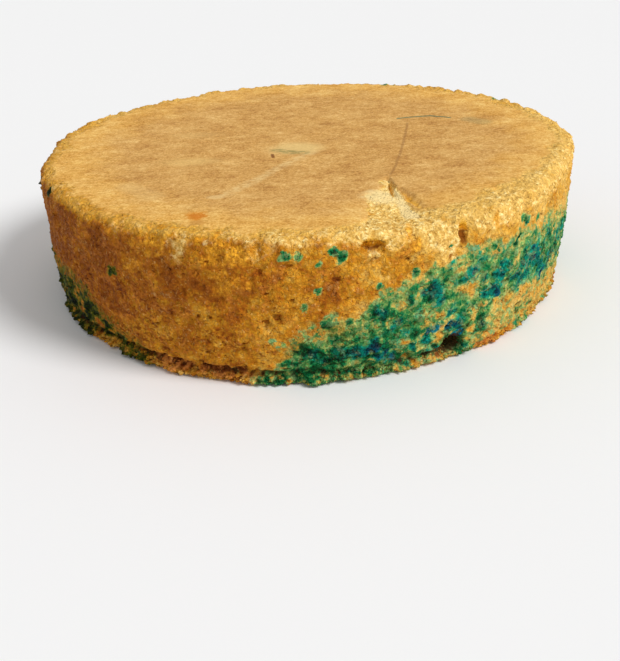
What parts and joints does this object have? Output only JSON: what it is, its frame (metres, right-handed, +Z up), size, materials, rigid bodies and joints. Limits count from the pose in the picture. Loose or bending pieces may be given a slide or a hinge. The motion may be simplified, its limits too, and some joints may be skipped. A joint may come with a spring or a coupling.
{
  "type": "marble cake",
  "caption": "Round vanilla sponge cake with blue-green marbling, a flat smooth top, an upright crumbly wall, a thin ragged foot crust and a torn patch on the rim.",
  "frame": {"origin": "centre of the flat base, on the surface the cake stands on", "axes": "+Z up through the middle of the cake; -Y is its front and +X its right side seen from the front"},
  "size_m": [0.2312, 0.2291, 0.059],
  "materials": {
    "sponge": "matt baked sponge: smooth tan skin on top, open golden crumb with blue-green marbling on the wall"
  },
  "bodies": {
    "root": {"marble_cake": "sponge"}
  },
  "joints": []
}
